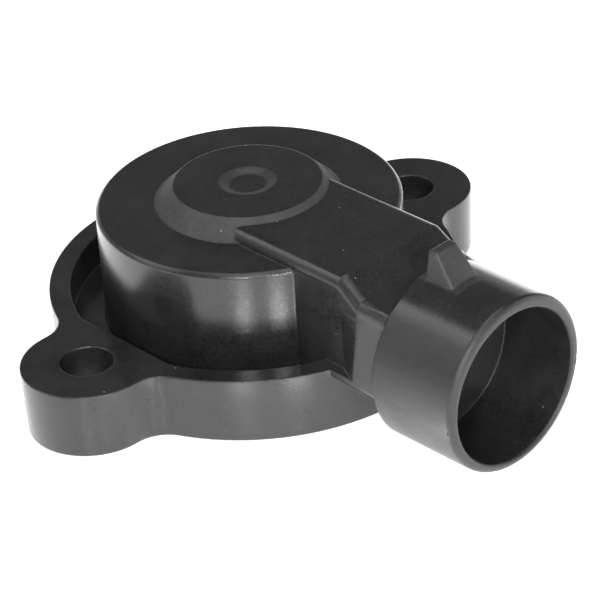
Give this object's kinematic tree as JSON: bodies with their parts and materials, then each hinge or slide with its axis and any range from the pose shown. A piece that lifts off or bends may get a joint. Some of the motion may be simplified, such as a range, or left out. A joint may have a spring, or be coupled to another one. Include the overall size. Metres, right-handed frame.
{
  "type": "throttle position sensor",
  "caption": "Rotary position sensor for a throttle shaft: round body on an eared flange, an arm to a round plug shroud with a lock wedge, and a sprung rotor with a drive socket",
  "frame": {"origin": "on the throttle shaft's axis, in the plane of the mounting face", "axes": "+Z away from the engine along the shaft's axis, +X along the connector arm, the screw ears along Y"},
  "size_m": [0.0593, 0.0608, 0.0217],
  "materials": {
    "housing_plastic": "black glass filled nylon, moulded, softly shiny",
    "terminal_brass": "tinned brass strip, satin",
    "board_laminate": "laminate with dark printed tracks",
    "rotor_plastic": "natural acetal, moulded, satin",
    "contact_bronze": "spring bronze, bright",
    "washer_steel": "stamped steel",
    "spring_steel": "drawn spring wire",
    "cover_plastic": "black nylon, moulded, satin",
    "seal_rubber": "smooth black nitrile rubber"
  },
  "bodies": {
    "housing": {"housing": "housing_plastic", "terminal_supply": "terminal_brass", "terminal_signal": "terminal_brass", "terminal_ground": "terminal_brass", "track_board": "board_laminate", "return_spring": "spring_steel", "back_cover": "cover_plastic", "flange_seal": "seal_rubber"},
    "rotor": {"rotor": "rotor_plastic", "wiper_spring": "contact_bronze", "thrust_washer": "washer_steel"}
  },
  "joints": [
    {"name": "rotor_turn", "type": "hinge", "parent": "housing", "child": "rotor", "pos_m": [0, 0, 0.0025], "axis": [0, 0, 1], "range_deg": [0, 100], "stiffness_Nm_per_rad": 0.01, "springref_deg": -85.94, "deforming": ["return_spring"]}
  ]
}
